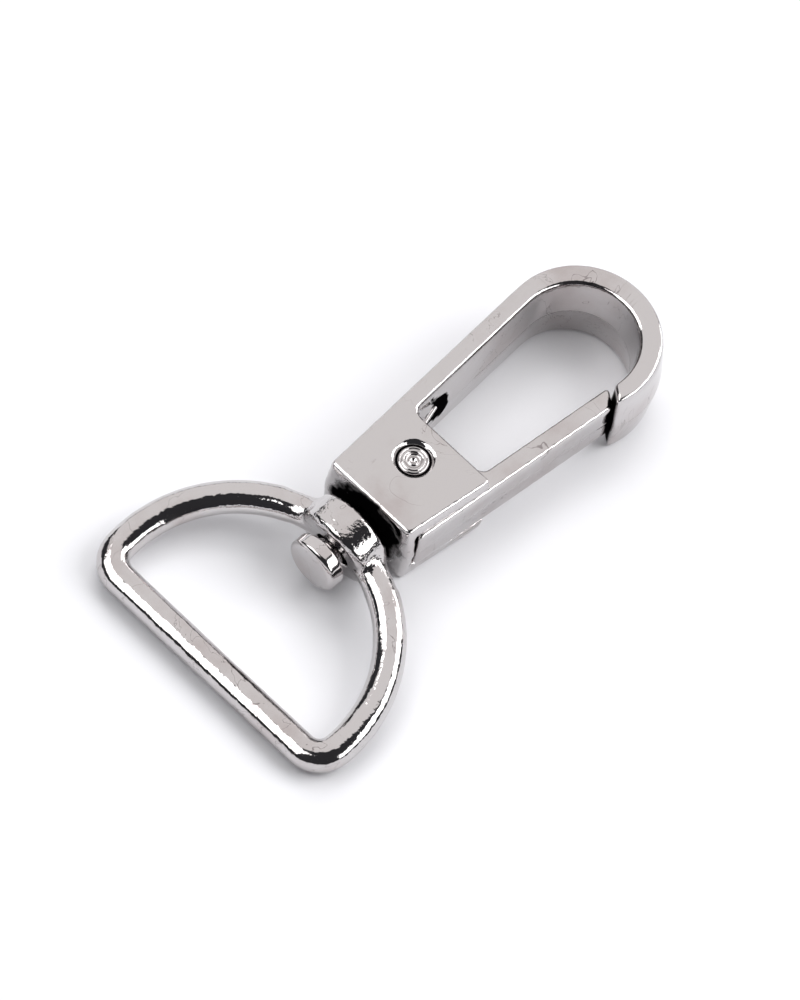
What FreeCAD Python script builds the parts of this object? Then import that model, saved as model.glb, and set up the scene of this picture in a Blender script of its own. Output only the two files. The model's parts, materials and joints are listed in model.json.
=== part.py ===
"""Swivel snap hook with a push-in gate and a D-ring for webbing, as a parametric document.

Modelling frame: +X runs along the swivel axis towards the bow of the hook, +Y towards the spine, +Z up
through the thickness.  Every sub-part is drawn about the swivel axis, with X = 0 on the end face of the
hook and Z = 0 at mid-thickness.  Its Placement then moves it so that the whole part stands on Z = 0
with its bounding box centred on the origin.
"""
import FreeCAD, Part
import Sketcher
import math
import os

DIMENSIONS = {
    # hook body
    "half_height": 4.45,       # half of the thickness of the hook
    "base_half_width": 5.05,   # half width of the top face at the end face
    "draft_step": 0.45,        # how far the side walls bulge at the parting line
    "bow_x": 26.5,             # centre of the round bow
    "bow_y": -1.05,
    "bow_lead": 0.35,          # how far the outer arc is centred beyond the inner one
    "bow_outer": 7.65,         # outer and inner radius of the bow on the top face
    "bow_inner": 5.75,
    "spine_wall": 1.95,        # width of the spine on the top face
    "cheek_end": 9.65,         # where the cheeks stop and the window begins
    "cheek_corner_y": -6.2,    # gate-side corner of the cheeks
    "nose_x": 24.14,           # outer corner of the slanted end of the nose
    "nose_y": -8.33,
    "nose_angle": 53.0,        # angle of the nose's end face from the swivel axis, degrees
    "nose_trim": 0.05,         # how far the nose's end is cut back flat
    "edge_round": 0.25,
    "end_wall": 1.9,           # thickness of the wall that holds the swivel post
    "recess_start": 1.05,      # where the gate's recess begins in the side of the base
    "recess_depth_y": -3.55,   # how deep the recess reaches before the end wall thickens
    "slot_half": 2.75,         # half height of the slot between the cheeks
    "window_corner": 0.5,
    # gate and its rivet
    "pivot_x": 5.97,
    "pivot_y": 0.18,
    "gate_half": 2.68,         # half height of the gate
    "gate_tail_x": 1.32,
    "gate_tail_y": -5.6,
    "gate_slope": -5.42,       # direction of the gate's outer face, degrees
    "gate_wall": 2.0,          # thickness of the gate's lever
    "tail_relief": 0.2,        # how much thinner its tail is
    "gate_gap": 0.12,          # gap between the gate's tip and the nose
    "gate_boss": 2.3,
    "gate_bore": 1.06,
    "gate_round": 0.22,
    "spring_room": 3.55,       # radius of the space for the spring above the gate's boss
    "spring_floor": 0.65,      # height of the floor of that space above mid-thickness
    "rivet_radius": 1.0,
    "rivet_hole": 1.03,
    "rivet_head": 1.52,
    "rivet_head_height": 0.42,
    "rivet_sink": 0.2,         # how far the rivet's heads lie below the faces
    "counterbore_radius": 1.83,
    # torsion spring
    "wire": 0.38,
    "coil_base": 1.05,         # height of the lowest turn above mid-thickness
    "coil_radius": 1.4,
    "coil_turns": 2,
    "spine_leg_at": 105.0,     # angles round the rivet where the two legs leave the coil
    "gate_leg_at": 195.0,
    "spine_leg": 6.9,
    "gate_leg": 2.9,
    # swivel post
    "post_radius": 1.5,
    "post_hole": 1.56,
    "post_head_radius": 2.8,
    "post_head_front": -7.05,
    "post_head_back": -5.4,
    "post_head_bevel": 0.38,
    "post_tail_radius": 2.05,
    "post_tail_gap": 0.06,
    "post_tail_length": 0.7,
    # D-ring
    "hub_x": -2.8,             # reference point of the hub on the swivel axis
    "hub_radius": 4.24,
    "hub_front": 1.5,          # length of the hub towards the bar and towards the hook
    "hub_back": 2.0,
    "hub_hole": 1.95,
    "hub_round": 0.45,
    "wire_radius": 1.57,
    "bow_ring": 14.08,         # centre line radius of the round side of the D
    "bow_ring_x": -13.85,      # its centre, measured from the hub
    "bar_x": -16.95,           # centre line of the straight bar, measured from the hub
    "corner_ring": 2.4,        # centre line radius of the D's two corners
}

XY, XZ, YZ = "XY_Plane", "XZ_Plane", "YZ_Plane"
Z_AXIS = FreeCAD.Vector(0, 0, 1)

doc = FreeCAD.newDocument("swivel_snap_hook")
sheet = doc.addObject("Spreadsheet::Sheet", "dims")
for row, (alias, value) in enumerate(DIMENSIONS.items(), start=1):
    sheet.set("A%d" % row, alias.replace("_", " "))
    sheet.set("B%d" % row, str(value))
    sheet.setAlias("B%d" % row, alias)
doc.recompute()


def size(alias):
    """Value of one cell of the sheet, in millimetres or degrees."""
    return float(sheet.get(alias))


def vec(x, y, z=0.0):
    return FreeCAD.Vector(x, y, z)


def polar(centre, radius, angle):
    """Point at an angle, in radians, on a circle about a centre in the XY plane."""
    return vec(centre.x + radius * math.cos(angle), centre.y + radius * math.sin(angle))


def new_body(label):
    body = doc.addObject("PartDesign::Body", label)
    body.Label = label
    return body


def new_sketch(body, name, plane, offset=0.0):
    """Sketch attached to one of the body's own origin planes, moved along the plane's normal."""
    sketch = body.newObject("Sketcher::SketchObject", name)
    role = next(f for f in body.Origin.OriginFeatures if f.Role == plane)
    sketch.AttachmentSupport = [(role, "")]
    sketch.MapMode = "FlatFace"
    sketch.AttachmentOffset = FreeCAD.Placement(vec(0, 0, offset), FreeCAD.Rotation())
    return sketch


def add_polygon(sketch, points):
    for start, end in zip(points, points[1:] + points[:1]):
        sketch.addGeometry(Part.LineSegment(start, end), False)


def add_circle(sketch, x, y, alias):
    """Circle at a fixed point, with its radius bound to a cell."""
    index = sketch.addGeometry(Part.Circle(vec(x, y), Z_AXIS, size(alias)), False)
    constraint = sketch.addConstraint(Sketcher.Constraint("Radius", index, size(alias)))
    sketch.setExpression("Constraints[%d]" % constraint, "dims." + alias)


def add_arc(sketch, centre, radius, start, end):
    """Counter-clockwise arc between two angles in radians."""
    circle = Part.Circle(centre, Z_AXIS, radius)
    sketch.addGeometry(Part.ArcOfCircle(circle, start, end), False)


def pad(body, sketch, name, length, both_ways=False):
    feature = body.newObject("PartDesign::Pad", name)
    feature.Profile = sketch
    feature.setExpression("Length", length)
    feature.Midplane = both_ways
    return feature


def pocket(body, sketch, name, length, both_ways=False, reverse=False):
    """Pocket that has to take material away, or the model stops here."""
    before = body.Shape.Volume
    feature = body.newObject("PartDesign::Pocket", name)
    feature.Profile = sketch
    feature.setExpression("Length", length)
    feature.Midplane = both_ways
    feature.Reversed = reverse
    doc.recompute()
    if not body.Shape.Volume < before - 1e-3:
        raise RuntimeError(name + " cuts nothing")
    return feature


def revolve(body, sketch, name, axis):
    feature = body.newObject("PartDesign::Revolution", name)
    feature.Profile = sketch
    feature.ReferenceAxis = (sketch, [axis])
    feature.Angle = 360.0
    return feature


def round_edges(body, name, radius, chosen):
    """Fillet the edges of the body's present shape that the test picks."""
    doc.recompute()
    picked = ["Edge%d" % (i + 1) for i, edge in enumerate(body.Shape.Edges) if chosen(edge)]
    base = body.Tip
    feature = body.newObject("PartDesign::Fillet", name)
    feature.Base = (base, picked)
    feature.setExpression("Radius", radius)
    doc.recompute()
    return feature


def tangent_angle(point, centre, radius, side):
    """Angle at which the tangent from a point touches a circle; side is +1 for the +Y tangent."""
    reach = centre - point
    bearing = math.atan2(reach.y, reach.x)
    return bearing + side * (math.asin(radius / reach.Length) + math.pi / 2)


def line_y(point, angle, x):
    """Height at x of the line that leaves a point at an angle in radians."""
    return point.y + (x - point.x) * math.tan(angle)


def angle_on_circle(centre, radius, point):
    """Angle at which the nose's end line through a point meets one of the bow's two circles."""
    offset = (point - centre).dot(NOSE_NORMAL)
    foot = centre + NOSE_NORMAL * offset
    reach = math.sqrt(radius ** 2 - offset ** 2)
    hit = foot - NOSE_DIRECTION * reach
    return math.atan2(hit.y - centre.y, hit.x - centre.x)


BOW = vec(size("bow_x"), size("bow_y"))
OUTER_BOW = BOW + vec(size("bow_lead"), 0)
PIVOT = vec(size("pivot_x"), size("pivot_y"))
NOSE = vec(size("nose_x"), size("nose_y"))
NOSE_DIRECTION = polar(vec(0, 0), 1.0, math.radians(size("nose_angle")))
NOSE_NORMAL = vec(-NOSE_DIRECTION.y, NOSE_DIRECTION.x)
PITCH = math.asin((size("half_height") - size("wire_radius")) / -size("bar_x"))


def make_hook_body():
    """Cast body: base with two cheeks, spine, bow and nose, drafted both ways from the parting line."""
    body = new_body("hook_body")
    bulge = size("draft_step")
    outer = size("bow_outer") + bulge
    inner = size("bow_inner") - bulge
    lead = 1.0
    corner = vec(0, size("base_half_width") + bulge)
    top_touch = tangent_angle(corner, OUTER_BOW, outer, 1)
    slope = top_touch - math.pi / 2
    window_x = size("cheek_end") + bulge
    touch_point = polar(BOW, inner, top_touch)
    round_radius = size("window_corner")
    turn_x = window_x + round_radius
    turn = vec(turn_x, line_y(touch_point, slope, turn_x) - round_radius / math.cos(slope))
    cheek_side = math.atan2(size("cheek_corner_y") + size("base_half_width"), size("cheek_end"))
    base_low = vec(0, -size("base_half_width") - bulge)
    nose_start = NOSE + NOSE_NORMAL * bulge
    nose_outer = angle_on_circle(OUTER_BOW, outer, nose_start)
    nose_inner = angle_on_circle(BOW, inner, nose_start)
    sketch = new_sketch(body, "outline", XY)
    low_corner = vec(window_x, line_y(base_low, cheek_side, window_x))
    leads = [vec(-lead, line_y(base_low, cheek_side, -lead)), vec(-lead, line_y(corner, slope, -lead))]
    loop = [vec(window_x, turn.y), low_corner] + leads + [polar(OUTER_BOW, outer, top_touch)]
    for start, end in zip(loop, loop[1:]):
        sketch.addGeometry(Part.LineSegment(start, end), False)
    add_arc(sketch, OUTER_BOW, outer, nose_outer, top_touch)
    nose_edge = Part.LineSegment(polar(OUTER_BOW, outer, nose_outer), polar(BOW, inner, nose_inner))
    sketch.addGeometry(nose_edge, False)
    add_arc(sketch, BOW, inner, nose_inner, top_touch)
    corner_end = polar(turn, round_radius, slope + math.pi / 2)
    sketch.addGeometry(Part.LineSegment(touch_point, corner_end), False)
    add_arc(sketch, turn, round_radius, slope + math.pi / 2, math.pi)
    half = pad(body, sketch, "upper_half", "dims.half_height")
    half.setExpression("TaperAngle", "-atan(dims.draft_step / dims.half_height)")
    mirror(body, half, "both_halves")
    return body


def mirror(body, feature, name):
    """Mirror image of a feature about the XY plane of its own body."""
    doc.recompute()
    copy = body.newObject("PartDesign::Mirrored", name)
    role = next(f for f in body.Origin.OriginFeatures if f.Role == XY)
    copy.Originals = [feature]
    copy.MirrorPlane = (role, [""])
    body.Tip = copy
    doc.recompute()
    return copy


def cut_hook_openings(body):
    """End face, slot for the gate, and the holes for the post and the rivet."""
    far = 30.0
    end_cut = new_sketch(body, "end_plane", XY)
    add_polygon(end_cut, [vec(-far, -far), vec(0, -far), vec(0, far), vec(-far, far)])
    pocket(body, end_cut, "end_face", "4 * dims.half_height", True)

    slot = new_sketch(body, "slot_plan", XY)
    wall, recess = size("end_wall"), size("recess_start")
    step_y, open_y = size("recess_depth_y"), -12.0
    top_y = size("base_half_width") - size("spine_wall")
    add_polygon(slot, [vec(wall, top_y), vec(wall, step_y), vec(recess, step_y), vec(recess, open_y),
                       vec(13.0, open_y), vec(13.0, 1.0), vec(size("cheek_end") + 0.6, top_y + 0.1)])
    pocket(body, slot, "slot", "2 * dims.slot_half", True)

    post = new_sketch(body, "post_hole_plan", YZ)
    add_circle(post, 0, 0, "post_hole")
    pocket(body, post, "post_hole_cut", "2 * dims.end_wall + 1", True)

    hole = new_sketch(body, "rivet_hole_plan", XY)
    add_circle(hole, PIVOT.x, PIVOT.y, "rivet_hole")
    pocket(body, hole, "rivet_hole_cut", "4 * dims.half_height", True)

    sink = new_sketch(body, "counterbore_plan", XY, size("half_height"))
    add_circle(sink, PIVOT.x, PIVOT.y, "counterbore_radius")
    bore = pocket(body, sink, "counterbore", "dims.rivet_head_height + dims.rivet_sink")
    mirror(body, bore, "both_counterbores")


def trim_nose(body):
    """Flat upright end on the nose, which the gate's tip closes against."""
    corner, reach = NOSE - NOSE_NORMAL * size("nose_trim"), 2.0
    low, high = corner - NOSE_DIRECTION * reach, corner + NOSE_DIRECTION * 2 * reach
    plan = new_sketch(body, "nose_plan", XY)
    add_polygon(plan, [low, high, high + NOSE_NORMAL * reach, low + NOSE_NORMAL * reach])
    pocket(body, plan, "nose_end", "4 * dims.half_height", True)


def soften_hook_edges(body):
    """Small roundings where the two flat faces meet the sides."""
    for name, level in (("upper_edges", size("half_height")), ("lower_edges", -size("half_height"))):
        def on_face(edge):
            box = edge.BoundBox
            return abs(box.ZMin - level) < 1e-3 and box.ZLength < 1e-3 and not round_hole(edge)

        round_edges(body, name, "dims.edge_round", on_face)


def round_hole(edge):
    """True for the rim of a round hole, which is a closed edge."""
    return len(edge.Vertexes) == 1


def bore_through(body, name, plane, x, y, alias, length):
    """Round hole, both ways from an origin plane."""
    sketch = new_sketch(body, name + "_plan", plane)
    add_circle(sketch, x, y, alias)
    return pocket(body, sketch, name, length, True)


def make_gate():
    """Cast lever with its pivot boss, a tail that fills the recess, and a space for the spring."""
    body = new_body("gate")
    outer_line = vec(size("gate_tail_x"), size("gate_tail_y"))
    slope = math.radians(size("gate_slope"))
    along = polar(vec(0, 0), 1.0, slope)
    inward = vec(-along.y, along.x)
    tip_start = NOSE + NOSE_NORMAL * (size("gate_gap") - size("nose_trim"))
    tip_outer = meet(outer_line, along, tip_start, NOSE_DIRECTION)
    inner_line = outer_line + inward * size("gate_wall")
    tip_inner = meet(inner_line, along, tip_start, NOSE_DIRECTION)
    tip_relief = 0.35
    lever_start = inner_line + along * (size("cheek_end") - 0.3)
    boss = size("gate_boss")
    lever_touch = tangent_angle(lever_start, PIVOT, boss, -1)
    tail_inner = inner_line - inward * size("tail_relief")
    tail_web = tail_inner + along * 1.9
    tail_touch = tangent_angle(tail_web, PIVOT, boss, 1)
    sketch = new_sketch(body, "plan", XY)
    path = [polar(PIVOT, boss, tail_touch), tail_web, tail_inner, outer_line, tip_outer,
            tip_inner - NOSE_DIRECTION * tip_relief, tip_inner - along * tip_relief,
            lever_start, polar(PIVOT, boss, lever_touch)]
    for start, end in zip(path, path[1:]):
        sketch.addGeometry(Part.LineSegment(start, end), False)
    add_arc(sketch, PIVOT, boss, lever_touch, tail_touch)
    pad(body, sketch, "lever", "2 * dims.gate_half", True)
    doc.recompute()
    bore_through(body, "pivot_bore", XY, PIVOT.x, PIVOT.y, "gate_bore", "4 * dims.gate_half")
    space = new_sketch(body, "spring_space_plan", XY, size("gate_half"))
    add_circle(space, PIVOT.x, PIVOT.y, "spring_room")
    pocket(body, space, "spring_space", "dims.gate_half - dims.spring_floor")
    soften_gate_edges(body)
    return body


def soften_gate_edges(body):
    """Small rounding along the lever's long edges and its tip."""
    for name, level in (("upper_edges", size("gate_half")), ("lower_edges", -size("gate_half"))):
        def on_face(edge):
            box = edge.BoundBox
            straight = isinstance(edge.Curve, Part.Line)
            return straight and abs(box.ZMin - level) < 1e-3 and box.ZLength < 1e-3

        round_edges(body, name, "dims.gate_round", on_face)


def meet(point_a, direction_a, point_b, direction_b):
    """Point where two lines in the XY plane cross."""
    across = vec(-direction_b.y, direction_b.x)
    distance = (point_b - point_a).dot(across) / direction_a.dot(across)
    return point_a + direction_a * distance


def make_gate_rivet():
    """Pin through both cheeks and the gate, its two ends spun out into the counterbores."""
    body = new_body("gate_rivet")
    sketch = new_sketch(body, "half_section", XZ)
    top = size("half_height") - size("rivet_sink")
    neck = top - size("rivet_head_height")
    shank, head = size("rivet_radius"), size("rivet_head")
    upper = [(shank, neck), (head, neck), (head, top - 0.12), (head - 0.12, top), (0.98, top),
             (0.9, top - 0.1), (0.72, top - 0.1), (0.64, top), (0.36, top), (0.0, top - 0.22)]
    points = [vec(x, z) for x, z in upper] + [vec(x, -z) for x, z in reversed(upper)]
    add_polygon(sketch, points)
    revolve(body, sketch, "spun_rivet", "V_Axis")
    doc.recompute()
    return body


def make_gate_spring():
    """Torsion spring: turns round the rivet, one leg on the spine and one inside the gate."""
    radius, pitch = size("coil_radius"), size("wire") * 1.15
    turns = (size("gate_leg_at") - size("spine_leg_at")) / 360.0 + size("coil_turns")
    helix = Part.makeHelix(pitch, pitch * turns, radius, 0.0, True)
    first, last = helix.Edges[0], helix.Edges[-1]
    low, high = first.valueAt(first.FirstParameter), last.valueAt(last.LastParameter)
    into, out = first.tangentAt(first.FirstParameter), last.tangentAt(last.LastParameter)
    gate_end = low - into * size("gate_leg")
    gate_leg = Part.makeLine(gate_end, low)
    spine_leg = Part.makeLine(high, high + out * size("spine_leg"))
    path = Part.Wire([gate_leg] + helix.Edges + [spine_leg])
    section = Part.Wire(Part.makeCircle(size("wire") / 2, gate_end, into))
    spring = doc.addObject("Part::Feature", "gate_spring")
    spring.Label = "gate_spring"
    spring.Shape = path.makePipeShell([section], True, False)
    return spring


def make_swivel_post():
    """Headed post on the swivel axis, its tail spread inside the end wall."""
    body = new_body("swivel_post")
    sketch = new_sketch(body, "half_section", XZ)
    front, back, bevel = size("post_head_front"), size("post_head_back"), size("post_head_bevel")
    head, shank = size("post_head_radius"), size("post_radius")
    tail, tail_start = size("post_tail_radius"), size("end_wall") + size("post_tail_gap")
    tail_end = tail_start + size("post_tail_length")
    soft = 0.15
    section = [(front, 0), (front, head - bevel), (front + bevel * 0.7, head), (back - soft, head),
               (back, head - soft), (back, shank), (tail_start, shank), (tail_start, tail),
               (tail_end - 0.25, tail), (tail_end, tail - 0.45), (tail_end, 0.5), (tail_end - 0.2, 0)]
    add_polygon(sketch, [vec(x, r) for x, r in section])
    revolve(body, sketch, "turned_post", "H_Axis")
    doc.recompute()
    return body


def make_swivel_ring():
    """Cast D-ring and its hub, drawn flat about the hub's centre."""
    body = new_body("swivel_ring")
    centre = vec(size("bow_ring_x"), 0)
    big, small, bar = size("bow_ring"), size("corner_ring"), size("bar_x")
    corner_x = bar + small
    corner_y = math.sqrt((big - small) ** 2 - (corner_x - centre.x) ** 2)
    upper = vec(corner_x, corner_y)
    turn = math.atan2(upper.y - centre.y, upper.x - centre.x)
    path = new_sketch(body, "d_path", XY)
    add_arc(path, centre, big, -turn, turn)
    add_arc(path, upper, small, turn, math.pi)
    path.addGeometry(Part.LineSegment(vec(bar, corner_y), vec(bar, -corner_y)), False)
    add_arc(path, vec(corner_x, -corner_y), small, -math.pi, -turn)
    wire = new_sketch(body, "wire_section", XZ)
    add_circle(wire, bar, 0, "wire_radius")
    pipe = body.newObject("PartDesign::AdditivePipe", "d_wire")
    pipe.Profile = wire
    pipe.Spine = path
    doc.recompute()
    hub = new_sketch(body, "hub_section", XZ)
    front, back = -size("hub_front"), size("hub_back")
    radius, soft = size("hub_radius"), size("hub_round")
    hub_points = [vec(front, 0), vec(front, radius - soft), vec(front + soft, radius),
                  vec(back - soft, radius), vec(back, radius - soft), vec(back, 0)]
    add_polygon(hub, hub_points)
    revolve(body, hub, "hub_barrel", "H_Axis")
    doc.recompute()
    bore_through(body, "hub_bore", YZ, 0, 0, "hub_hole", "4 * dims.hub_back")
    return body


def place(piece, x, y, z, rotation=FreeCAD.Rotation()):
    """Move a piece from its own drawing origin to its place in the standing part's frame."""
    reach_back = size("hub_x") + size("bar_x") * math.cos(PITCH) - size("wire_radius")
    reach_front = OUTER_BOW.x + size("bow_outer") + size("draft_step")
    centred = x - (reach_back + reach_front) / 2
    piece.Placement = FreeCAD.Placement(vec(centred, y, z + size("half_height")), rotation)


def check_document():
    doc.recompute()
    for item in doc.Objects:
        if "Invalid" in item.State or "Error" in item.State:
            raise RuntimeError("%s failed: %s" % (item.Name, item.getStatusString()))


def main():
    hook = make_hook_body()
    cut_hook_openings(hook)
    trim_nose(hook)
    soften_hook_edges(hook)
    gate = make_gate()
    rivet = make_gate_rivet()
    spring = make_gate_spring()
    ring = make_swivel_ring()
    post = make_swivel_post()

    place(hook, 0, 0, 0)
    place(gate, 0, 0, 0)
    place(post, 0, 0, 0)
    place(rivet, PIVOT.x, PIVOT.y, 0)
    place(spring, PIVOT.x, PIVOT.y, size("coil_base"), FreeCAD.Rotation(Z_AXIS, size("gate_leg_at")))
    resting = FreeCAD.Rotation(vec(0, 1, 0), -math.degrees(PITCH))
    place(ring, size("hub_x"), 0, 0, resting)
    check_document()

    os.makedirs("parts", exist_ok=True)
    for piece in (hook, gate, rivet, spring, ring, post):
        if piece.Shape.isNull() or not piece.Shape.isValid():
            raise RuntimeError(piece.Label + " is not a valid shape")
        piece.Shape.exportStep("parts/%s.step" % piece.Label)
        print("%-14s %8.1f mm3" % (piece.Label, piece.Shape.Volume))


main()
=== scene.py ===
"""The looks of a swivel snap hook: cast hook and gate, riveted pivot, sprung gate, D-ring on a headed post."""

import json
import math

import bmesh
import bpy
from mathutils import Matrix, Vector


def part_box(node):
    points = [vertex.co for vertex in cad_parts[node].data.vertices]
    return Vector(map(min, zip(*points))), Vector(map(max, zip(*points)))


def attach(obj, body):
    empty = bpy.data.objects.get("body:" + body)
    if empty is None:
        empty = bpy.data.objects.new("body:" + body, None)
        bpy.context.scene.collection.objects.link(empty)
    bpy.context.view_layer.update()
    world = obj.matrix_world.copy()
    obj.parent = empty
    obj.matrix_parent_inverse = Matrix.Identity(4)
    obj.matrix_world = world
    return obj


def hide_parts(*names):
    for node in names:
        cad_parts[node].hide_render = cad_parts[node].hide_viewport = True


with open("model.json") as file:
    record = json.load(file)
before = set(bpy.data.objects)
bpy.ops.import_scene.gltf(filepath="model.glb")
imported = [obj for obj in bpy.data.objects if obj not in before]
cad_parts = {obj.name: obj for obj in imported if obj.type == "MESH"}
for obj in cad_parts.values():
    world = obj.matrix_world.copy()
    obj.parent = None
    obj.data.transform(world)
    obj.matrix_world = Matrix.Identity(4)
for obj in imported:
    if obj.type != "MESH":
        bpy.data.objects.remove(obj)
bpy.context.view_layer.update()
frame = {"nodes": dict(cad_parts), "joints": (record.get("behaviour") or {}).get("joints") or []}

bl_info = {
    "name": "Swivel Snap Hook",
    "version": (1, 0, 0),
    "blender": (4, 5, 0),
    "location": "3D View > Sidebar > Snap Hook",
    "description": "Finishes the parts of a plated swivel snap hook and sets them on a studio table",
    "category": "Object",
}

MM = 0.001
SMOOTH = {"interpolation_type": "SMOOTHSTEP"}

# The swivel axis, the gate's pivot and the ring's hub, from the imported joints.
JOINTS = {joint["name"]: joint for joint in frame["joints"]}
SWIVEL = Vector(JOINTS["swivel"]["pos_m"])
PIVOT = Vector(JOINTS["gate_pivot"]["pos_m"])
RING_HUB = Vector(JOINTS["ring_rock"]["pos_m"])
# Where the swivel axis meets the hook's end face.
END_FACE = Vector((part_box("hook_body")[0].x, SWIVEL.y, SWIVEL.z))

# Sizes in mm of the stains, the hairline swirls and the pits in the plating.
STAIN_MM, SWIRL_MM, PIT_MM = 7.0, 9.0, 0.45
# Where the noise is this close to its middle a swirl line begins, and where it is fully drawn.
LINE_EDGE, LINE_CORE = 0.0045, 0.0005
SWIRL_COLOUR = "#6A6061"
# The colour and roughness of the painted shade, a near-black, non-metallic finish that stands in for the shadows and
# dark reflections in the hook's recesses, and the shader's own specular level elsewhere.
PAINTED_SHADE_COLOUR, PAINTED_SHADE_ROUGHNESS, SPECULAR = "#080708", 0.4, 0.5
# How much higher the ripples stand where the casting is coarse.
COARSE_GAIN = 1.3
# The parting line's half width at its foot and at its crest, and its height.
RIDGE_FOOT, RIDGE_CREST, RIDGE_HEIGHT = 0.16 * MM, 0.02 * MM, 0.05 * MM

# A blend reach so short that no arm root is smoothed.
NO_BLEND = 0.001 * MM
# Vertices closer than this are one.
DOUBLES = 0.001 * MM
POST_GRID = 0.09 * MM
ROOT_OFFSET = 4.8 * MM
GATE_LEG_ANGLE = math.radians(195)
# How far one turn of the coil climbs, in wire diameters.
COIL_PITCH = 1.15
COIL_STEPS = 96
RIVET_STEPS = 96


# ---------------------------------------------------------------- helpers


def linear(hex_colour):
    """An sRGB hex colour as linear RGBA."""
    parts = [int(hex_colour[i : i + 2], 16) / 255 for i in (1, 3, 5)]
    return [p / 12.92 if p <= 0.04045 else ((p + 0.055) / 1.055) ** 2.4 for p in parts] + [1.0]


def per_metre(size_mm):
    """The texture scale that gives a pattern of that size, on coordinates in metres."""
    return 1 / (size_mm * MM)


def add(tree, kind, inputs=None, **settings):
    """One node with its settings, and its inputs set or linked from another socket."""
    made = tree.nodes.new(kind)
    for name, value in settings.items():
        setattr(made, name, value)
    for name, value in (inputs or {}).items():
        if isinstance(value, bpy.types.NodeSocket):
            tree.links.new(value, made.inputs[name])
        else:
            made.inputs[name].default_value = value
    return made


def new_material(name):
    """An empty node material and its tree."""
    material = bpy.data.materials.new(name)
    material.use_nodes = True
    material.node_tree.nodes.clear()
    return material, material.node_tree


def span(value, low, high):
    """The inputs of a Map Range node that gives 0 where value is at low and 1 where it is at high."""
    return {"Value": value, "From Min": low, "From Max": high}


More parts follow.
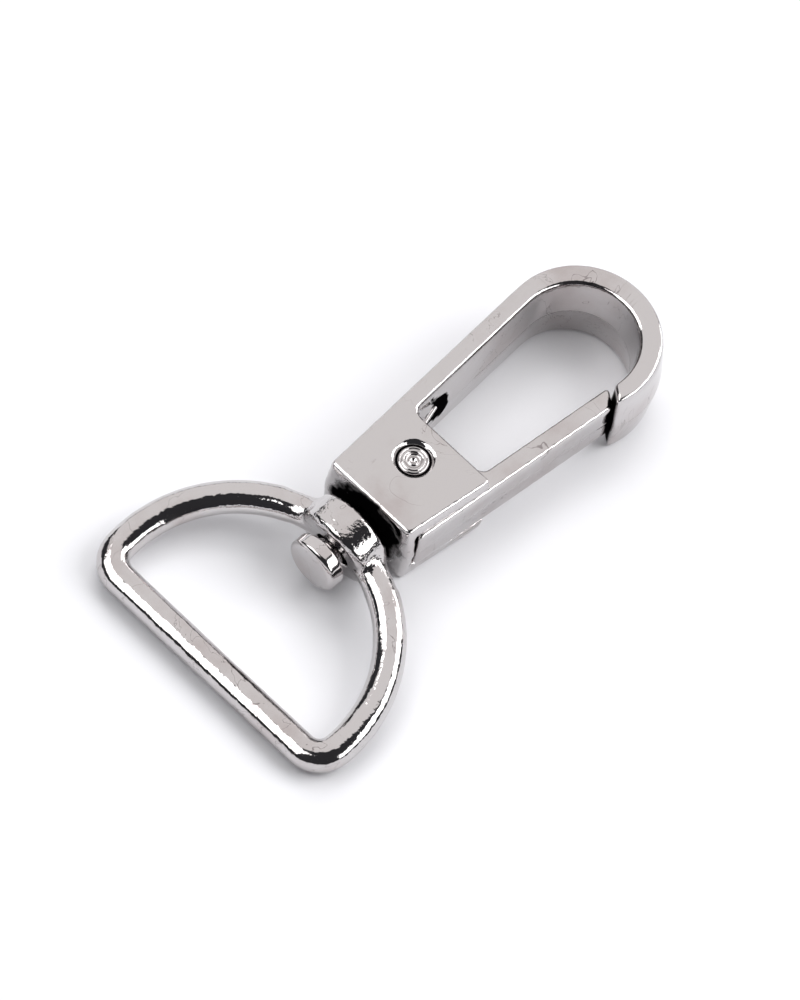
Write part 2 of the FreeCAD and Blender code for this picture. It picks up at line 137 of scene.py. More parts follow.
def metal(name, look, colour, ripple_mm, slope, pit_share, dark=None, coarse=None, parting=None):
    """A polished plated metal: casting ripples, faint stains, hairline swirls, and painted shade, near-black spots that
    stand in for shadows and dark reflections.

    slope is how steep the ripples are, and pit_share how much of them is fine pitting. dark(tree, where) gives 1 where
    shade is painted, and there the metal turns near-black to stand in for the shadows and dark reflections of recesses.
    coarse(tree, where) gives 1 where the casting is rough under its plating. parting is the height of the die's parting
    line.
    """
    material, tree = new_material(name)
    where = add(tree, "ShaderNodeTexCoord").outputs["Object"]
    cloud = add(
        tree, "ShaderNodeTexNoise", {"Vector": where, "Scale": per_metre(STAIN_MM), "Detail": 5.0, "Roughness": 0.55}
    ).outputs["Fac"]
    swirl = add(
        tree,
        "ShaderNodeTexNoise",
        {"Vector": where, "Scale": per_metre(SWIRL_MM), "Detail": 4.0, "Roughness": 0.5, "Distortion": 2.2},
    ).outputs["Fac"]
    # A swirl line is drawn where the noise crosses its middle, and fades in and out along its way.
    across = add(tree, "ShaderNodeMath", {0: swirl, 1: 0.5}, operation="SUBTRACT").outputs[0]
    near = add(tree, "ShaderNodeMath", {0: across}, operation="ABSOLUTE").outputs[0]
    line = add(tree, "ShaderNodeMapRange", span(near, LINE_EDGE, LINE_CORE), **SMOOTH).outputs["Result"]
    broken = add(tree, "ShaderNodeMapRange", span(cloud, 0.36, 0.56), **SMOOTH).outputs["Result"]
    for factor in (broken, look.swirl):
        line = add(tree, "ShaderNodeMath", {0: line, 1: factor}, operation="MULTIPLY").outputs[0]
    stained = add(tree, "ShaderNodeMapRange", span(cloud, 0.42, 0.75), **SMOOTH).outputs["Result"]
    tint = linear(colour)
    for factor, hex_colour in ((stained, look.stain), (line, SWIRL_COLOUR)):
        inputs = {"Factor": factor, 6: tint, 7: linear(hex_colour)}
        tint = add(tree, "ShaderNodeMix", inputs, data_type="RGBA").outputs[2]
    shine, gloss = 1.0, SPECULAR
    rough = add(
        tree,
        "ShaderNodeMapRange",
        {**span(cloud, 0.3, 0.75), "To Min": look.roughness, "To Max": look.roughness * 1.8},
    ).outputs["Result"]
    # Painted shade: where the mask is 1 the metal turns near-black, non-metallic and dull, standing in for shadows and
    # dark reflections in recesses.
    if dark:
        mask = dark(tree, where)
        inputs = {"Factor": mask, 6: tint, 7: linear(PAINTED_SHADE_COLOUR)}
        tint = add(tree, "ShaderNodeMix", inputs, data_type="RGBA").outputs[2]
        inputs = {"Factor": mask, 2: rough, 3: PAINTED_SHADE_ROUGHNESS}
        rough = add(tree, "ShaderNodeMix", inputs, data_type="FLOAT").outputs[0]
        shine = add(tree, "ShaderNodeMath", {0: 1.0, 1: mask}, operation="SUBTRACT").outputs[0]
        gloss = add(tree, "ShaderNodeMath", {0: shine, 1: SPECULAR}, operation="MULTIPLY").outputs[0]
    # A broad swell, and fine pitting that makes the edges of reflections ragged.
    swell = add(
        tree, "ShaderNodeTexNoise", {"Vector": where, "Scale": per_metre(ripple_mm), "Detail": 2.0, "Roughness": 0.45}
    ).outputs["Fac"]
    pits = add(
        tree, "ShaderNodeTexNoise", {"Vector": where, "Scale": per_metre(PIT_MM), "Detail": 2.0, "Roughness": 0.6}
    ).outputs["Fac"]
    height = add(tree, "ShaderNodeMix", {"Factor": pit_share, 2: swell, 3: pits}, data_type="FLOAT").outputs[0]
    if coarse:
        rise = coarse(tree, where)
        rise = add(tree, "ShaderNodeMath", {0: rise, 1: COARSE_GAIN}, operation="MULTIPLY").outputs[0]
        rise = add(tree, "ShaderNodeMath", {0: rise, 1: 1.0}, operation="ADD").outputs[0]
        height = add(tree, "ShaderNodeMath", {0: height, 1: rise}, operation="MULTIPLY").outputs[0]
    inputs = {"Strength": 1.0, "Distance": slope * ripple_mm * MM, "Height": height}
    bump = add(tree, "ShaderNodeBump", inputs).outputs["Normal"]
    if parting:
        # The witness of the die's parting line: a low broken ridge at mid-thickness.
        off = distance(tree, where, (0.0, 0.0, parting), (0.0, 0.0, 1.0))
        ridge = add(tree, "ShaderNodeMapRange", span(off, RIDGE_FOOT, RIDGE_CREST), **SMOOTH).outputs["Result"]
        ridge = add(tree, "ShaderNodeMath", {0: ridge, 1: broken}, operation="MULTIPLY").outputs[0]
        inputs = {"Strength": 1.0, "Distance": RIDGE_HEIGHT, "Height": ridge, "Normal": bump}
        bump = add(tree, "ShaderNodeBump", inputs).outputs["Normal"]
    shader = add(
        tree,
        "ShaderNodeBsdfPrincipled",
        {"Base Color": tint, "Metallic": shine, "Specular IOR Level": gloss, "Roughness": rough, "Normal": bump},
    ).outputs["BSDF"]
    add(tree, "ShaderNodeOutputMaterial", {"Surface": shader})
    return material


def distance(tree, where, centre, stretch):
    """Distance from a centre, with each axis stretched by a factor (0 leaves that axis out)."""
    shifted = add(tree, "ShaderNodeVectorMath", {0: where, 1: centre}, operation="SUBTRACT").outputs[0]
    scaled = add(tree, "ShaderNodeVectorMath", {0: shifted, 1: stretch}, operation="MULTIPLY").outputs[0]
    return add(tree, "ShaderNodeVectorMath", {0: scaled}, operation="LENGTH").outputs["Value"]


def painted_recess_shade(tree, where):
    """Painted shade: 1 where the recesses' shadows and dark reflections are painted near-black, on the end face round
    the post, in the counterbores, by the spring's leg and on the nose's end.
    """
    ragged = add(tree, "ShaderNodeTexNoise", {"Vector": where, "Scale": per_metre(1.6), "Detail": 2.0}).outputs["Fac"]
    wobble = add(tree, "ShaderNodeMath", {0: ragged, 1: 0.5}, operation="SUBTRACT").outputs[0]
    wobble = add(tree, "ShaderNodeMath", {0: wobble, 1: 2.6 * MM}, operation="MULTIPLY").outputs[0]
    # Painted shade on the end face and by the spring's leg: centre, stretch of each axis, and reach and fade in mm.
    spots = (
        (tuple(END_FACE), (9.0, 1.0, 1.0), 4.9, 1.1),
        ((PIVOT.x + 7.0 * MM, PIVOT.y + 3.2 * MM, PIVOT.z + 0.8 * MM), (1.0, 2.5, 0.62), 1.7, 0.25),
    )
    parts = []
    for centre, stretch, reach, fade in spots:
        far = distance(tree, where, centre, stretch)
        far = add(tree, "ShaderNodeMath", {0: far, 1: wobble}, operation="ADD").outputs[0]
        inputs = span(far, reach * MM, (reach - fade) * MM)
        parts.append(add(tree, "ShaderNodeMapRange", inputs, **SMOOTH).outputs["Result"])
    # Painted shadow in the counterbores: a ring-shaped wall just below the two flat faces.
    round_pivot = distance(tree, where, (PIVOT.x, PIVOT.y, 0.0), (1.0, 1.0, 0.0))
    deep = distance(tree, where, (0.0, 0.0, PIVOT.z), (0.0, 0.0, 1.0))
    inside = add(tree, "ShaderNodeMapRange", span(round_pivot, 1.76 * MM, 1.68 * MM), **SMOOTH).outputs["Result"]
    below = add(tree, "ShaderNodeMapRange", span(deep, 4.40 * MM, 4.30 * MM), **SMOOTH).outputs["Result"]
    parts.append(add(tree, "ShaderNodeMath", {0: inside, 1: below}, operation="MULTIPLY").outputs[0])
    # Painted shade on the nose's upright end: a thin slab round the plane that stands at 53 degrees behind the gate's
    # tip.
    slit = PIVOT + Vector((18.13, -8.46, 0.0)) * MM
    shifted = add(tree, "ShaderNodeVectorMath", {0: where, 1: slit}, operation="SUBTRACT").outputs[0]
    inputs = {0: shifted, 1: (-0.799, 0.602, 0.0)}
    off = add(tree, "ShaderNodeVectorMath", inputs, operation="DOT_PRODUCT").outputs["Value"]
    aside = distance(tree, where, tuple(slit), (1.0, 1.0, 0.0))
    near = add(tree, "ShaderNodeMapRange", span(aside, 2.9 * MM, 2.3 * MM), **SMOOTH).outputs["Result"]
    behind = add(tree, "ShaderNodeMapRange", span(off, -0.16 * MM, -0.12 * MM), **SMOOTH).outputs["Result"]
    before = add(tree, "ShaderNodeMapRange", span(off, 0.0, -0.02 * MM), **SMOOTH).outputs["Result"]
    face = add(tree, "ShaderNodeMath", {0: behind, 1: before}, operation="MULTIPLY").outputs[0]
    parts.append(add(tree, "ShaderNodeMath", {0: face, 1: near}, operation="MULTIPLY").outputs[0])
    whole = parts[0]
    for part in parts[1:]:
        whole = add(tree, "ShaderNodeMath", {0: whole, 1: part}, operation="MAXIMUM").outputs[0]
    return whole


def hub_skin(tree, where):
    """1 on the ring's hub, which is cast rougher than its wire."""
    far = distance(tree, where, tuple(RING_HUB), (1.0, 1.0, 1.0))
    return add(tree, "ShaderNodeMapRange", span(far, 6.0 * MM, 4.4 * MM), **SMOOTH).outputs["Result"]


def cast_finish(look):
    """Nickel-plated die-cast zinc, made once: a bright warm mirror over slightly uneven casting, with shade painted
    near-black in its recesses.
    """
    name = "nickel-plated die-cast zinc"
    made = bpy.data.materials.get(name)
    return made or metal(name, look, look.plating, 2.4, 0.022, 0.35, painted_recess_shade, parting=PIVOT.z)


def wire_finish(look):
    """Nickel-plated cast ring, made once: less polished, so that its reflections break up."""
    name = "nickel-plated cast ring wire"
    made = bpy.data.materials.get(name)
    return made or metal(name, look, look.plating, 1.4, 0.045, 0.3, coarse=hub_skin)


def wire_drawn_finish(look):
    """Drawn spring wire, made once: bright, with a fine uneven grain."""
    name = "drawn spring wire"
    return bpy.data.materials.get(name) or metal(name, look, "#C4C2C2", 0.5, 0.02, 0.5)


def turned_finish(look):
    """Nickel-plated turned steel for post and rivet, made once: smoother than the castings."""
    name = "nickel-plated turned steel"
    return bpy.data.materials.get(name) or metal(name, look, look.plating, 1.6, 0.012, 0.3)


def merged_copy(node_name, name):
    """A copy of a CAD node with its doubles merged, as a new piece."""
    mesh = frame["nodes"][node_name].data.copy()
    mesh.name = name
    work = bmesh.new()
    work.from_mesh(mesh)
    bmesh.ops.remove_doubles(work, verts=work.verts, dist=DOUBLES)
    bmesh.ops.recalc_face_normals(work, faces=work.faces)
    work.to_mesh(mesh)
    work.free()
    piece = bpy.data.objects.new(name, mesh)
    bpy.context.scene.collection.objects.link(piece)
    return piece


def bake(piece):
    """Turns a piece and its modifiers into a plain mesh with smooth faces."""
    graph = bpy.context.evaluated_depsgraph_get()
    graph.update()
    mesh = bpy.data.meshes.new_from_object(piece.evaluated_get(graph), depsgraph=graph)
    mesh.name = piece.name
    piece.modifiers.clear()
    piece.data = mesh
    mesh.shade_smooth()
    return piece


def stand_for(piece, node_name, body):
    """The piece takes a CAD node's place on its body."""
    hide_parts(node_name)
    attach(piece, body)


# ---------------------------------------------------------------- settings


class PlatingLook(bpy.types.PropertyGroup):
    plating: bpy.props.StringProperty(
        name="Plating Colour", description="sRGB hex colour of the nickel plating", default="#C8C5C5"
    )
    stain: bpy.props.StringProperty(
        name="Stain Colour", description="sRGB hex colour of the faint plating stains", default="#BAB3B2"
    )
    roughness: bpy.props.FloatProperty(
        name="Roughness", description="Roughness of the clean plating", default=0.06, min=0.0, max=1.0, subtype="FACTOR"
    )
    swirl: bpy.props.FloatProperty(
        name="Swirl Lines",
        description="Strength of the hairline swirls",
        default=0.6,
        min=0.0,
        max=1.0,
        subtype="FACTOR",
    )


class CastShape(bpy.types.PropertyGroup):
    body_grid: bpy.props.FloatProperty(
        name="Casting Grid",
        description="Edge length of the hook's mesh",
        default=0.155 * MM,
        precision=6,
        unit="LENGTH",
    )
    ring_grid: bpy.props.FloatProperty(
        name="Ring Grid", description="Edge length of the ring's mesh", default=0.125 * MM, precision=6, unit="LENGTH"
    )
    edge_passes: bpy.props.IntProperty(
        name="Edge Passes", description="How often the hook's edges are smoothed", default=16, min=0
    )
    blend_reach: bpy.props.FloatProperty(
        name="Blend Reach", description="How far a root blend spreads", default=2.6 * MM, precision=6, unit="LENGTH"
    )
    blend_passes: bpy.props.IntProperty(
        name="Blend Passes", description="How often the arm roots are smoothed", default=70, min=0
    )
    ripple: bpy.props.FloatProperty(
        name="Ripple Height", description="Height of the casting ripples", default=0.05 * MM, precision=6, unit="LENGTH"
    )


class SpringShape(bpy.types.PropertyGroup):
    wire: bpy.props.FloatProperty(
        name="Wire", description="Diameter of the spring's wire", default=0.38 * MM, precision=6, unit="LENGTH"
    )
    coil_radius: bpy.props.FloatProperty(
        name="Coil Radius", description="Radius of the coil's centre line", default=1.4 * MM, precision=6, unit="LENGTH"
    )
    turns: bpy.props.FloatProperty(name="Turns", description="Turns from leg to leg", default=2.25, min=0.5)
    high_leg: bpy.props.FloatProperty(
        name="Spine Leg", description="Length of the leg on the spine", default=6.9 * MM, precision=6, unit="LENGTH"
    )
    low_leg: bpy.props.FloatProperty(
        name="Gate Leg", description="Length of the leg in the gate", default=2.9 * MM, precision=6, unit="LENGTH"
    )


class StageLook(bpy.types.PropertyGroup):
    floor: bpy.props.StringProperty(
        name="Floor Colour", description="sRGB hex colour of the table", default="#F7F7FA"
    )
    floor_width: bpy.props.FloatProperty(
        name="Floor Width", description="Side of the square table", default=1.6, unit="LENGTH"
    )
    overhead: bpy.props.FloatProperty(
        name="Overhead Light", description="Brightness of the light over the table", default=0.95, min=0.0
    )
    fill: bpy.props.FloatProperty(
        name="Fill Lights", description="Brightness of the three lights that shade the table", default=2.7, min=0.0
    )
    tent: bpy.props.FloatProperty(
        name="Tent", description="Brightness of the large tent seen in the metal", default=0.98, min=0.0
    )
    window: bpy.props.FloatProperty(
        name="Side Light", description="Brightness of the side softbox seen in the metal", default=3.2, min=0.0
    )
    strip: bpy.props.FloatProperty(
        name="Strip Light", description="Brightness of the strip seen along the edges", default=3.4, min=0.0
    )


class SnapHookSettings(bpy.types.PropertyGroup):
    look: bpy.props.PointerProperty(type=PlatingLook)
    shape: bpy.props.PointerProperty(type=CastShape)
    spring: bpy.props.PointerProperty(type=SpringShape)
    stage: bpy.props.PointerProperty(type=StageLook)


# ---------------------------------------------------------------- pieces


def cast_surface_tree():
    """Geometry nodes that soften a casting's edges, blend arms into a hub and ripple the skin."""
    name = "Cast Surface"
    if name in bpy.data.node_groups:
        return bpy.data.node_groups[name]
    tree = bpy.data.node_groups.new(name, "GeometryNodeTree")
    face = tree.interface
    face.new_socket("Geometry", in_out="INPUT", socket_type="NodeSocketGeometry")
    face.new_socket("Geometry", in_out="OUTPUT", socket_type="NodeSocketGeometry")
    for socket in ("Blend Reach", "Root Offset", "Ripple Height", "Ripple Scale"):
        face.new_socket(socket, in_out="INPUT", socket_type="NodeSocketFloat")
    face.new_socket("Hub Centre", in_out="INPUT", socket_type="NodeSocketVector")
    for socket in ("Edge Passes", "Blend Passes"):
        face.new_socket(socket, in_out="INPUT", socket_type="NodeSocketInt")
    face.new_socket("Material", in_out="INPUT", socket_type="NodeSocketMaterial")
    given = add(tree, "NodeGroupInput").outputs
    place = add(tree, "GeometryNodeInputPosition").outputs["Position"]
    even = add(
        tree,
        "GeometryNodeBlurAttribute",
        {"Value": place, "Iterations": given["Edge Passes"], "Weight": 0.6},
        data_type="FLOAT_VECTOR",
    ).outputs["Value"]
    softened = add(tree, "GeometryNodeSetPosition", {"Geometry": given["Geometry"], "Position": even})
    # Distance to the arm roots, which stand at the same offset on both sides of the hub.
    offset = add(tree, "ShaderNodeVectorMath", {0: place, 1: given["Hub Centre"]}, operation="SUBTRACT").outputs[0]
    folded = add(tree, "ShaderNodeVectorMath", {0: offset}, operation="ABSOLUTE").outputs[0]
    apart = add(tree, "ShaderNodeSeparateXYZ", {0: folded}).outputs
    along = add(tree, "ShaderNodeMath", {0: apart["Y"], 1: given["Root Offset"]}, operation="SUBTRACT").outputs[0]
    spot = add(tree, "ShaderNodeCombineXYZ", {"X": apart["X"], "Y": along, "Z": apart["Z"]}).outputs[0]
    far = add(tree, "ShaderNodeVectorMath", {0: spot}, operation="LENGTH").outputs["Value"]
    inner = add(tree, "ShaderNodeMath", {0: given["Blend Reach"], 1: 0.5}, operation="MULTIPLY").outputs[0]
    mask = add(
        tree,
        "ShaderNodeMapRange",
        {"Value": far, "From Min": given["Blend Reach"], "From Max": inner},
        interpolation_type="SMOOTHSTEP",
    ).outputs["Result"]
    soft = add(
        tree,
        "GeometryNodeBlurAttribute",
        {"Value": place, "Iterations": given["Blend Passes"], "Weight": mask},
        data_type="FLOAT_VECTOR",
    ).outputs["Value"]
    blended = add(tree, "GeometryNodeSetPosition", {"Geometry": softened.outputs[0], "Position": soft})
    noise = add(
        tree, "ShaderNodeTexNoise", {"Scale": given["Ripple Scale"], "Detail": 2.0, "Roughness": 0.5}
    ).outputs["Fac"]
    # The ripples lie below the CAD's skin, so that the piece stays inside it.
    level = add(tree, "ShaderNodeMath", {0: noise, 1: 0.8}, operation="SUBTRACT").outputs[0]
    lift = add(tree, "ShaderNodeMath", {0: level, 1: given["Ripple Height"]}, operation="MULTIPLY").outputs[0]
    normal = add(tree, "GeometryNodeInputNormal").outputs["Normal"]
    move = add(tree, "ShaderNodeVectorMath", {0: normal, "Scale": lift}, operation="SCALE").outputs[0]
    rippled = add(tree, "GeometryNodeSetPosition", {"Geometry": blended.outputs[0], "Offset": move})
    real = add(tree, "GeometryNodeRealizeInstances", {"Geometry": rippled.outputs[0]})
    finished = add(tree, "GeometryNodeSetMaterial", {"Geometry": real.outputs[0], "Material": given["Material"]})
    add(tree, "NodeGroupOutput", {"Geometry": finished.outputs[0]})
    return tree


def set_inputs(modifier, values):
    """Sets a geometry nodes modifier's inputs by their sockets' names."""
    for item in modifier.node_group.interface.items_tree:
        if item.in_out == "INPUT" and item.name in values:
            modifier[item.identifier] = values[item.name]


def cast(node_name, grid, values):
    """A piece with a casting's soft edges and rippled skin, on the shape of a CAD node."""
    piece = merged_copy(node_name, "cast_" + node_name)
    remesh = piece.modifiers.new("Grid", "REMESH")
    remesh.mode = "VOXEL"
    remesh.voxel_size = grid
    surface = piece.modifiers.new("Surface", "NODES")
    surface.node_group = cast_surface_tree()
    set_inputs(surface, values)
    return bake(piece)


class SNAPHOOK_OT_castings(bpy.types.Operator):
    """Makes the cast hook body and its gate with soft cast edges"""

    bl_idname = "snaphook.castings"
    bl_label = "Hook and Gate"

    def execute(self, context):
        settings = context.scene.snap_hook
        for node_name, body in (("hook_body", "hook"), ("gate", "gate")):
            values = {
                "Blend Reach": NO_BLEND,
                "Ripple Height": 0.02 * MM,
                "Ripple Scale": per_metre(6),
                "Edge Passes": settings.shape.edge_passes,
                "Material": cast_finish(settings.look),
            }
            piece = cast(node_name, settings.shape.body_grid, values)
            stand_for(piece, node_name, body)
        return {"FINISHED"}


class SNAPHOOK_OT_post(bpy.types.Operator):
    """Makes the turned swivel post with softly broken edges"""

    bl_idname = "snaphook.post"
    bl_label = "Swivel Post"

    def execute(self, context):
        settings = context.scene.snap_hook
        values = {
            "Blend Reach": NO_BLEND,
            "Ripple Height": 0.01 * MM,
            "Ripple Scale": per_metre(2),
            "Edge Passes": 4,
            "Material": turned_finish(settings.look),
        }
        piece = cast("swivel_post", POST_GRID, values)
        stand_for(piece, "swivel_post", "post")
        return {"FINISHED"}


def spring_tree():
    """Geometry nodes that wind a torsion spring: a helix with two straight legs, swept with a round wire."""
    tree = bpy.data.node_groups.new("Torsion Spring", "GeometryNodeTree")
    face = tree.interface
    face.new_socket("Geometry", in_out="OUTPUT", socket_type="NodeSocketGeometry")
    for socket in ("Wire Radius", "Coil Radius", "Turns", "Lead", "Start Angle", "High Leg", "Low Leg"):
        face.new_socket(socket, in_out="INPUT", socket_type="NodeSocketFloat")
    face.new_socket("Centre", in_out="INPUT", socket_type="NodeSocketVector")
    face.new_socket("Material", in_out="INPUT", socket_type="NodeSocketMaterial")
    given = add(tree, "NodeGroupInput").outputs
    line = add(tree, "GeometryNodeCurvePrimitiveLine").outputs[0]
    fine = add(tree, "GeometryNodeResampleCurve", {"Curve": line, "Count": COIL_STEPS + 1}).outputs[0]
    # Points run from the low leg's end, up the coil, to the high leg's end; the coil turns clockwise. A leg
    # runs along the coil's climbing tangent where it leaves. Each row names a value, and says what it is.
    value = {name: given[name] for name in ("Coil Radius", "Turns", "Lead", "Start Angle", "High Leg", "Low Leg")}
    value["index"] = add(tree, "GeometryNodeInputIndex").outputs[0]
    for name, operation, *terms in (
        ("share", "SUBTRACT", "index", 1.0),
        ("share", "DIVIDE", "share", COIL_STEPS - 2.0),
        ("share", "MAXIMUM", "share", 0.0),
        ("share", "MINIMUM", "share", 1.0),
        ("turned", "MULTIPLY", "share", "Turns"),
        ("swept", "MULTIPLY", "turned", -math.tau),
        ("angle", "ADD", "swept", "Start Angle"),
        ("level", "MULTIPLY", "turned", "Lead"),
        ("first", "LESS_THAN", "index", 0.5),
        ("last", "GREATER_THAN", "index", COIL_STEPS - 0.5),
        ("on low leg", "MULTIPLY", "first", "Low Leg"),
        ("on high leg", "MULTIPLY", "last", "High Leg"),
        ("along", "SUBTRACT", "on low leg", "on high leg"),
        ("round", "MULTIPLY", "Coil Radius", math.tau),
        ("climb", "DIVIDE", "Lead", "round"),
        ("climbed", "MULTIPLY", "along", "climb"),
        ("Z", "SUBTRACT", "level", "climbed"),
        ("cos", "COSINE", "angle"),
        ("sin", "SINE", "angle"),
        ("coil x", "MULTIPLY", "cos", "Coil Radius"),
        ("coil y", "MULTIPLY", "sin", "Coil Radius"),
        ("leg x", "MULTIPLY", "sin", "along"),
        ("leg y", "MULTIPLY", "cos", "along"),
        ("X", "SUBTRACT", "coil x", "leg x"),
        ("Y", "ADD", "coil y", "leg y"),
    ):
        inputs = {slot: value.get(term, term) for slot, term in enumerate(terms)}
        value[name] = add(tree, "ShaderNodeMath", inputs, operation=operation).outputs[0]
    spot = add(tree, "ShaderNodeCombineXYZ", {axis: value[axis] for axis in "XYZ"}).outputs[0]
    placed = add(tree, "ShaderNodeVectorMath", {0: spot, 1: given["Centre"]}, operation="ADD").outputs[0]
    path = add(tree, "GeometryNodeSetPosition", {"Geometry": fine, "Position": placed}).outputs[0]
    section = add(tree, "GeometryNodeCurvePrimitiveCircle", {"Resolution": 20, "Radius": given["Wire Radius"]})
    wire = add(
        tree,
        "GeometryNodeCurveToMesh",
        {"Curve": path, "Profile Curve": section.outputs[0], "Fill Caps": True},
    ).outputs[0]
    real = add(tree, "GeometryNodeRealizeInstances", {"Geometry": wire}).outputs[0]
    finished = add(tree, "GeometryNodeSetMaterial", {"Geometry": real, "Material": given["Material"]})
    add(tree, "NodeGroupOutput", {"Geometry": finished.outputs[0]})
    return tree


class SNAPHOOK_OT_spring(bpy.types.Operator):
    """Winds the gate's torsion spring"""

    bl_idname = "snaphook.spring"
    bl_label = "Gate Spring"

    def execute(self, context):
        settings = context.scene.snap_hook
        mesh = bpy.data.meshes.new("wound_spring")
        piece = bpy.data.objects.new("wound_spring", mesh)
        context.scene.collection.objects.link(piece)
        coil = piece.modifiers.new("Coil", "NODES")
        coil.node_group = spring_tree()
        spring = settings.spring
        lead = spring.wire * COIL_PITCH
        # The gate leg slopes down from the lowest turn, so the coil starts above the spring's lowest point.
        drop = spring.low_leg * lead / (math.tau * spring.coil_radius)
        set_inputs(
            coil,
            {
                "Wire Radius": spring.wire / 2,
                "Coil Radius": spring.coil_radius,
                "Turns": spring.turns,
                "Lead": lead,
                "Start Angle": GATE_LEG_ANGLE,
                "High Leg": spring.high_leg,
                "Low Leg": spring.low_leg,
                "Centre": [PIVOT.x, PIVOT.y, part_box("gate_spring")[0].z + spring.wire / 2 + drop],
                "Material": wire_drawn_finish(settings.look),
            },
        )
        bake(piece)
        stand_for(piece, "gate_spring", "hook")
        return {"FINISHED"}


def head_drop(radius):
    """How far a rivet head's face lies below its top, in mm, at a radius in mm.

    Each term is a depth times a shape of (radius - place) / width.
    """
    rim = 0.22 * max(0.0, (radius - 1.28) / 0.24) ** 2
    groove = 0.10 * math.exp(-(((radius - 1.17) / 0.07) ** 2))
    dish = 0.33 / (1 + math.exp((radius - 0.78) / 0.05))
    knob = 0.12 * math.exp(-(((radius - 0.36) / 0.12) ** 2))
    punch = 0.06 * math.exp(-((radius / 0.12) ** 2))
    return rim + groove + dish - knob + punch


def turn(name, profile, centre, steps):
    """A closed solid of revolution about a vertical axis, from (radius, height) points in mm, top to bottom."""
    verts, rings = [], []
    for radius, height in profile:
        # A point on the axis is one pole, so there are no doubles to merge.
        count = steps if radius > 0 else 1
        rings.append(range(len(verts), len(verts) + count))
        for turned in (math.tau * step / steps for step in range(count)):
            x, y = radius * MM * math.cos(turned), radius * MM * math.sin(turned)
            verts.append((centre.x + x, centre.y + y, height * MM))
    faces = []
    for upper, lower in zip(rings, rings[1:]):
        for step in range(steps):
            here, there = step, (step + 1) % steps
            around = (lower, here), (lower, there), (upper, there), (upper, here)
            faces.append(list(dict.fromkeys(ring[at % len(ring)] for ring, at in around)))
    mesh = bpy.data.meshes.new(name)
    mesh.from_pydata(verts, [], faces)
    mesh.shade_smooth()
    piece = bpy.data.objects.new(name, mesh)
    bpy.context.scene.collection.objects.link(piece)
    return piece


class SNAPHOOK_OT_rivet(bpy.types.Operator):
    """Makes the gate's rivet with its formed heads"""

    bl_idname = "snaphook.rivet"
    bl_label = "Rivet"

    def execute(self, context):
        low, high = (corner.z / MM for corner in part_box("gate_rivet"))
        # Radius of the heads and of the shank, and how far a head's underside lies below its top, in mm.
        head, shank, under = 1.515, 0.99, 0.41
        radii = [head * i / 60 for i in range(61)]
        top = [(r, high - head_drop(r)) for r in radii] + [(head, high - under), (shank, high - under)]
        bottom = [(r, low + (high - z)) for r, z in reversed(top)]
        piece = turn("formed_rivet", top + bottom, Vector((PIVOT.x, PIVOT.y, 0)), RIVET_STEPS)
        piece.data.materials.append(turned_finish(context.scene.snap_hook.look))
        stand_for(piece, "gate_rivet", "hook")
        return {"FINISHED"}


class SNAPHOOK_OT_ring(bpy.types.Operator):
    """Makes the cast D-ring with its arms blended into the hub"""

    bl_idname = "snaphook.ring"
    bl_label = "D-Ring"

    def execute(self, context):
        settings = context.scene.snap_hook
        values = {
            "Blend Reach": settings.shape.blend_reach,
            "Root Offset": ROOT_OFFSET,
            "Ripple Height": settings.shape.ripple,
            "Ripple Scale": per_metre(1.3),
            "Hub Centre": list(RING_HUB),
            "Edge Passes": 3,
            "Blend Passes": settings.shape.blend_passes,
            "Material": wire_finish(settings.look),
        }
        piece = cast("swivel_ring", settings.shape.ring_grid, values)
        stand_for(piece, "swivel_ring", "ring")
        return {"FINISHED"}


# ---------------------------------------------------------------- stage


def aim(direction, up=(0, 0, 1)):
    """Rotation that points an area light at the object from that direction."""
    back = Vector(direction).normalized()
    right = Vector(up).cross(back).normalized()
    return Matrix((right, back.cross(right), back)).transposed().to_4x4()


def softbox(name, direction, distance, width, height, brightness, colour="#FFFFFF"):
    """A rectangular light that faces the object, of a given brightness seen in a mirror."""
    light = bpy.data.lights.new(name, "AREA")
    light.shape = "RECTANGLE"
    light.size = width
    light.size_y = height
    light.energy = brightness * math.pi * width * height
    light.color = linear(colour)[:3]
    lamp = bpy.data.objects.new(name, light)
    lamp.matrix_world = Matrix.Translation(Vector(direction).normalized() * distance) @ aim(direction)
    bpy.context.scene.collection.objects.link(lamp)
    return lamp


def add_camera():
    """The camera: a long lens about 0.69 m away, looking down at about 60 degrees."""
    # Unit vectors: the picture's right and up, and back from the object to the lens.
    right = Vector((0.69983699, -0.70668272, 0.10405637))
    up = Vector((0.58745673, 0.65229208, 0.47896726))
    back = Vector((-0.40635303, -0.27407039, 0.87164364))
    data = bpy.data.cameras.new("Camera")
    data.sensor_width = 36
    data.lens = 271.9
    data.clip_start = 0.05
    data.clip_end = 20
    camera = bpy.data.objects.new("Camera", data)
    # In mm from the middle of the end face.
    place = END_FACE + (3.24 * right + 1.98 * up + 689.66 * back) * MM
    camera.matrix_world = Matrix.Translation(place) @ Matrix((right, up, back)).transposed().to_4x4()
    bpy.context.scene.collection.objects.link(camera)
    bpy.context.scene.camera = camera


def add_floor(stage):
    """A plain pale table."""
    work = bmesh.new()
    bmesh.ops.create_grid(work, x_segments=1, y_segments=1, size=stage.floor_width / 2)
    mesh = bpy.data.meshes.new("table")
    work.to_mesh(mesh)
    work.free()
    table = bpy.data.objects.new("table", mesh)
    bpy.context.scene.collection.objects.link(table)
    # Painted matt white board: it only takes the shadows.
    material, tree = new_material("matt white board")
    inputs = {"Base Color": linear(stage.floor), "Roughness": 0.9, "Specular IOR Level": 0.1}
    shader = add(tree, "ShaderNodeBsdfPrincipled", inputs)
    add(tree, "ShaderNodeOutputMaterial", {"Surface": shader.outputs["BSDF"]})
    mesh.materials.append(material)


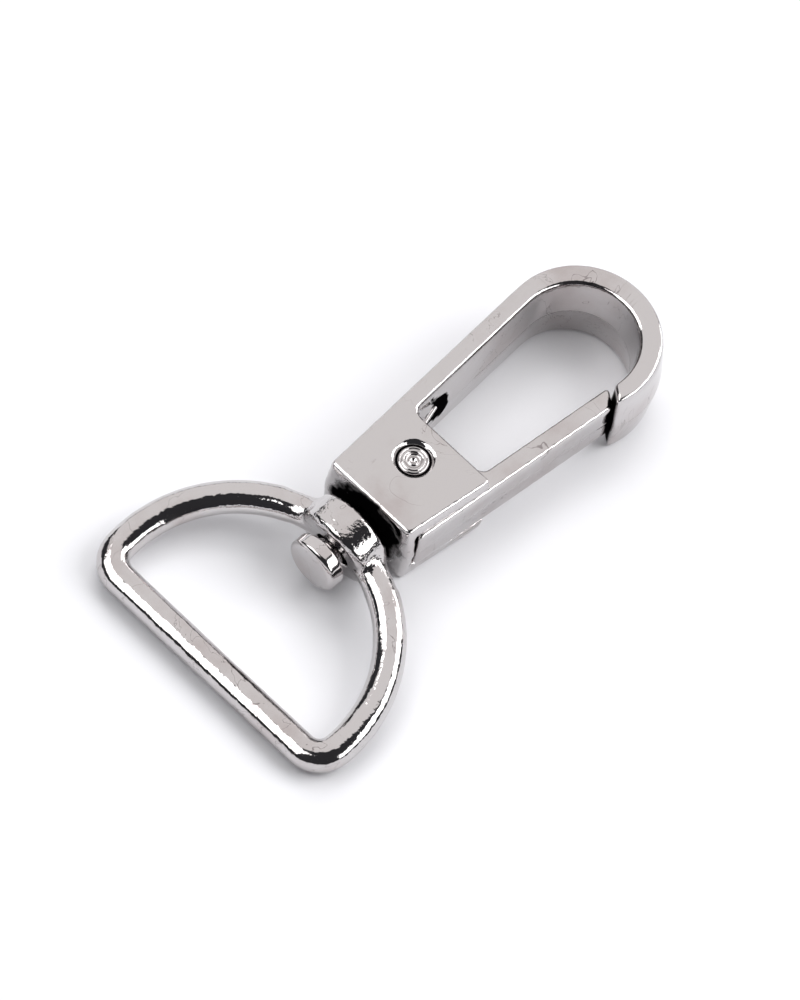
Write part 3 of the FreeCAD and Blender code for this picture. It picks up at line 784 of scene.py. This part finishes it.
class SNAPHOOK_OT_stage(bpy.types.Operator):
    """Sets up the table, the lights and the camera"""

    bl_idname = "snaphook.stage"
    bl_label = "Stage"

    def execute(self, context):
        stage = context.scene.snap_hook.stage
        add_floor(stage)
        # Name, direction, distance, width, height and brightness. The first lamps only light the table, and
        # the others are only seen in the metal.
        for_table = (
            softbox("overhead", (0.0, 0.1, 1.0), 1.2, 1.2, 1.2, stage.overhead),
            softbox("right fill", (0.52, -0.50, 0.69), 1.2, 0.9, 0.9, 1.5 * stage.fill),
            softbox("left fill", (-0.48, 0.40, 0.78), 1.2, 0.9, 0.9, 0.5 * stage.fill),
            softbox("back fill", (0.50, 0.45, 0.74), 1.2, 0.9, 0.9, stage.fill),
        )
        for_metal = (
            softbox("tent", (0.50, 0.42, 0.75), 1.0, 2.08, 2.08, stage.tent, "#FFFCFB"),
            softbox("side", (-0.60, 0.42, 0.68), 1.0, 1.0, 0.82, stage.window),
            softbox("strip", (0.58, -0.58, 0.49), 1.0, 0.93, 0.54, stage.strip),
            softbox("low strip", (0.93, -0.27, 0.26), 1.0, 0.36, 0.34, stage.strip),
            softbox("far strip", (0.10, -0.92, 0.38), 1.0, 0.5, 0.4, stage.strip),
        )
        for lamp in for_table:
            lamp.visible_glossy = False
        for lamp in for_metal:
            lamp.visible_diffuse = False
        # The dim cool room beyond the lamps.
        world = bpy.data.worlds.new("studio")
        world.use_nodes = True
        room = world.node_tree.nodes["Background"].inputs
        room["Color"].default_value = linear("#E6E6F0")
        room["Strength"].default_value = 0.05
        context.scene.world = world
        context.scene.view_settings.view_transform = "Standard"
        add_camera()
        return {"FINISHED"}


class SNAPHOOK_PT_panel(bpy.types.Panel):
    """Buttons for each piece of the snap hook"""

    bl_idname = "SNAPHOOK_PT_panel"
    bl_label = "Snap Hook"
    bl_space_type = "VIEW_3D"
    bl_region_type = "UI"
    bl_category = "Snap Hook"

    def draw(self, context):
        settings = context.scene.snap_hook
        for group in (settings.look, settings.shape, settings.spring, settings.stage):
            box = self.layout.box()
            for name in group.__annotations__:
                box.prop(group, name)
        for operator in OPERATORS:
            self.layout.operator(operator.bl_idname)


OPERATORS = (
    SNAPHOOK_OT_castings,
    SNAPHOOK_OT_post,
    SNAPHOOK_OT_spring,
    SNAPHOOK_OT_rivet,
    SNAPHOOK_OT_ring,
    SNAPHOOK_OT_stage,
)
CLASSES = (PlatingLook, CastShape, SpringShape, StageLook, SnapHookSettings, *OPERATORS, SNAPHOOK_PT_panel)


def register():
    for cls in CLASSES:
        bpy.utils.register_class(cls)
    bpy.types.Scene.snap_hook = bpy.props.PointerProperty(type=SnapHookSettings)


def unregister():
    del bpy.types.Scene.snap_hook
    for cls in reversed(CLASSES):
        bpy.utils.unregister_class(cls)


def main():
    register()
    bpy.ops.snaphook.castings()
    bpy.ops.snaphook.post()
    bpy.ops.snaphook.spring()
    bpy.ops.snaphook.rivet()
    bpy.ops.snaphook.ring()
    bpy.ops.snaphook.stage()


if __name__ == "__main__":
    main()
